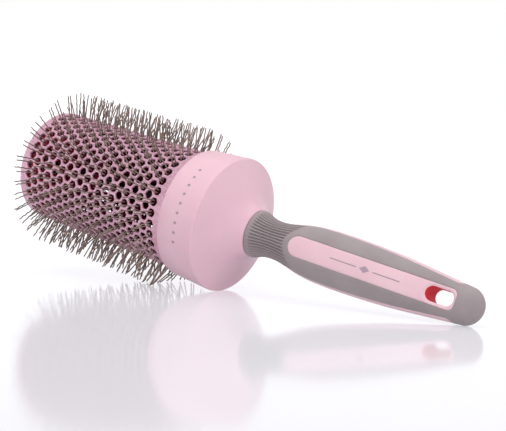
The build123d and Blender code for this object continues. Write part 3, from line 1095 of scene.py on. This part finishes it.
def make_handle_print(material):
    """A plain ornament along the window: a hairline to each side of one lozenge."""
    points, faces = [], []
    middle, apart = 182.0, 10.5
    patch(points, faces, window_surface, diamond(middle, 0, length=5.0, height=3.0))
    for side in (-1, 1):
        mark = dash(middle + side * apart, 0, length=13.0, height=0.5)
        patch(points, faces, window_surface, mark)
    return add_mesh("handle_print", points, faces, [material], HANDLE)


def make_collar_print(material):
    """A plain ornament round part of the band: one run of evenly spaced small lozenges."""
    points, faces = [], []
    x, middle, count, step = 97.4, 38.0, 9, 4.4
    for i in range(count):
        around = middle + (i - (count - 1) / 2) * step
        patch(points, faces, band_surface, diamond(x, around, length=2.0, height=1.6))
    return add_mesh("collar_print", points, faces, [material])


# ---- camera, light and floor ---------------------------------------------------------------
# Aim and angles are given in the brush's own axes, distances in millimetres.
CAMERA_AIM = (115.76, 1.63, 6.82)
CAMERA_DISTANCE = 672.4
CAMERA_AZIMUTH = 33.42
CAMERA_ELEVATION = 11.29
CAMERA_ROLL = -11.31
CAMERA_LENS = 106.72


def make_camera():
    """The one camera, placed round the brush's own axes."""
    azimuth, elevation = math.radians(CAMERA_AZIMUTH), math.radians(CAMERA_ELEVATION)
    back = Vector((math.sin(azimuth) * math.cos(elevation),
                   -math.cos(azimuth) * math.cos(elevation), math.sin(elevation)))
    data = bpy.data.cameras.new("camera")
    data.lens = CAMERA_LENS
    data.sensor_width = 36.0
    data.clip_start = 0.01
    data.clip_end = 50
    camera = bpy.data.objects.new("camera", data)
    bpy.context.scene.collection.objects.link(camera)
    turn = (-back).to_track_quat("-Z", "Y").to_matrix().to_4x4()
    roll = Matrix.Rotation(math.radians(-CAMERA_ROLL), 4, "Z")
    brush_turn = BRUSH.to_quaternion().to_matrix().to_4x4()
    place = Matrix.Translation(BRUSH @ (Vector(CAMERA_AIM) + back * CAMERA_DISTANCE))
    camera.matrix_world = place @ brush_turn @ turn @ roll
    bpy.context.scene.camera = camera


def make_floor():
    """A large pale sheet with a soft sheen, brightened by a little light of its own."""
    size = 4.0
    mesh = bpy.data.meshes.new("floor")
    corners = [(-size, -size, 0), (size, -size, 0), (size, size, 0), (-size, size, 0)]
    mesh.from_pydata(corners, [], [(0, 1, 2, 3)])
    floor = bpy.data.objects.new("floor", mesh)
    bpy.context.scene.collection.objects.link(floor)
    shader = Shader("floor_acrylic", Base_Color=(0.27, 0.27, 0.285, 1), Roughness=0.10,
                    Specular_IOR_Level=0.6, Emission_Color=(0.96, 0.94, 1.0, 1),
                    Emission_Strength=0.44)
    mesh.materials.append(shader.material)


def area_light(name, place, target, size, power):
    """A white soft box, kept out of mirror reflections."""
    data = bpy.data.lights.new(name, "AREA")
    data.shape = "RECTANGLE"
    data.size, data.size_y = size
    data.energy = power
    light = bpy.data.objects.new(name, data)
    light.location = place
    light.rotation_euler = (Vector(target) - Vector(place)).to_track_quat("-Z", "Y").to_euler()
    light.visible_glossy = False
    bpy.context.scene.collection.objects.link(light)


def make_world():
    """A white studio: bright near the horizon, dimmer overhead."""
    world = bpy.data.worlds.new("studio")
    world.use_nodes = True
    nodes, links = world.node_tree.nodes, world.node_tree.links
    direction = nodes.new("ShaderNodeTexCoord")
    split = nodes.new("ShaderNodeSeparateXYZ")
    ramp = nodes.new("ShaderNodeValToRGB")
    ramp.color_ramp.elements[0].position = 0.25
    ramp.color_ramp.elements[0].color = (1, 1, 1, 1)
    ramp.color_ramp.elements[1].position = 0.45
    ramp.color_ramp.elements[1].color = (0.45, 0.45, 0.46, 1)
    links.new(direction.outputs["Generated"], split.inputs["Vector"])
    links.new(split.outputs["Z"], ramp.inputs["Fac"])
    background = nodes["Background"]
    links.new(ramp.outputs["Color"], background.inputs["Color"])
    background.inputs["Strength"].default_value = 1.0
    bpy.context.scene.world = world


def make_lights():
    """One large soft box above and three weaker ones round the brush."""
    middle = (0, 0, 0.04)
    area_light("top_softbox", (-0.05, 0.0, 0.9), middle, (1.1, 0.9), 7.4)
    area_light("right_softbox", (1.1, -0.25, 0.28), middle, (0.6, 0.5), 4.2)
    area_light("left_fill", (-0.9, -0.6, 0.5), middle, (0.5, 0.6), 1.6)
    area_light("front_fill", (0.3, -1.1, 0.16), middle, (0.9, 0.3), 3.2)


# ---- assembly ------------------------------------------------------------------------------
def stand_for(piece, node):
    """Lets a detailed piece stand for a CAD node."""
    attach(piece, "root")
    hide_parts(node)


def repaint(names, material):
    """Gives CAD nodes a procedural material."""
    for name in names:
        for slot in frame["nodes"][name].material_slots:
            slot.material = material


def build():
    """Makes every piece, in the order of the brush from its front to its handle."""
    barrel = barrel_material()
    collar = collar_material()
    ink = print_material()
    bristle = bristle_material()
    carrier_with_shade = carrier_shade_material()
    stand_for(make_barrel(barrel, carrier_with_shade), "barrel")
    stand_for(make_front_cap(barrel), "front_cap")
    stand_for(make_collar(collar), "collar")
    for row in range(HOLES_AROUND):
        piece = make_bristle_row(row, bristle, carrier_with_shade)
        stand_for(piece, f"bristle_strip_{row + 1:02d}")
    skin = HandleSkin()
    stand_for(make_core(skin, core_material(), slot_wall_glow_material()), "handle_core")
    stand_for(make_grip(skin, grip_material()), "grip_overmould")
    prints = {"collar_plastic": make_collar_print(ink), "core_plastic": make_handle_print(ink)}
    for slot, piece in prints.items():
        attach(piece, "root")
    # The inner spiders and bulkhead take the carrier material, with its painted glow and shade.
    repaint(["front_spider", "middle_spider", "rear_spider", "rear_bulkhead"], carrier_with_shade)
    # Steel given a near-black colour: painted shade inside the barrel.
    steel = metal_material("steel_darkened_as_painted_shade", (0.07, 0.06, 0.065, 1), (0.12, 0.105, 0.11, 1))
    repaint(["tie_rod", "tie_rod_washer", "tie_rod_nut"], steel)
    brass = metal_material("turned_brass", (0.55, 0.38, 0.16, 1), (0.68, 0.50, 0.24, 1))
    repaint(["threaded_insert"], brass)


build()
make_floor()
make_world()
make_lights()
make_camera()
bpy.context.scene.view_settings.view_transform = "Standard"
